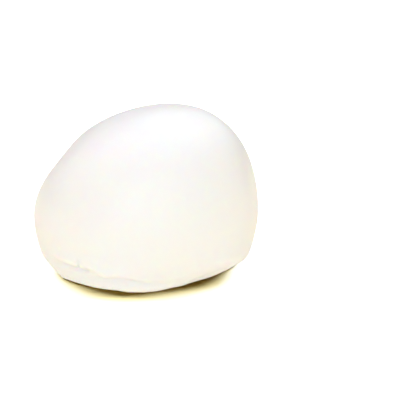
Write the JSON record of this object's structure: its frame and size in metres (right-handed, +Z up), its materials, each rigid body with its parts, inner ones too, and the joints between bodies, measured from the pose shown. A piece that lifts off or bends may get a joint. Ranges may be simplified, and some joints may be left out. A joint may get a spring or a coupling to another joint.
{
  "type": "mozzarella ball",
  "caption": "Soft fresh white cheese ball, lopsided and settled flat underneath, with a folded lower edge.",
  "frame": {"origin": "bottom centre of the ball's box, on the plane of the flat underside", "axes": "+Z up, +X along the long side of the ball toward its higher and steeper end, -Y toward the side with the fold low on it"},
  "size_m": [0.0846, 0.0772, 0.062],
  "materials": {
    "fresh_curd": "moist, smooth milk-white skin with a soft sheen and a little light passing through it"
  },
  "bodies": {
    "root": {"mozzarella_ball": "fresh_curd"}
  },
  "joints": []
}
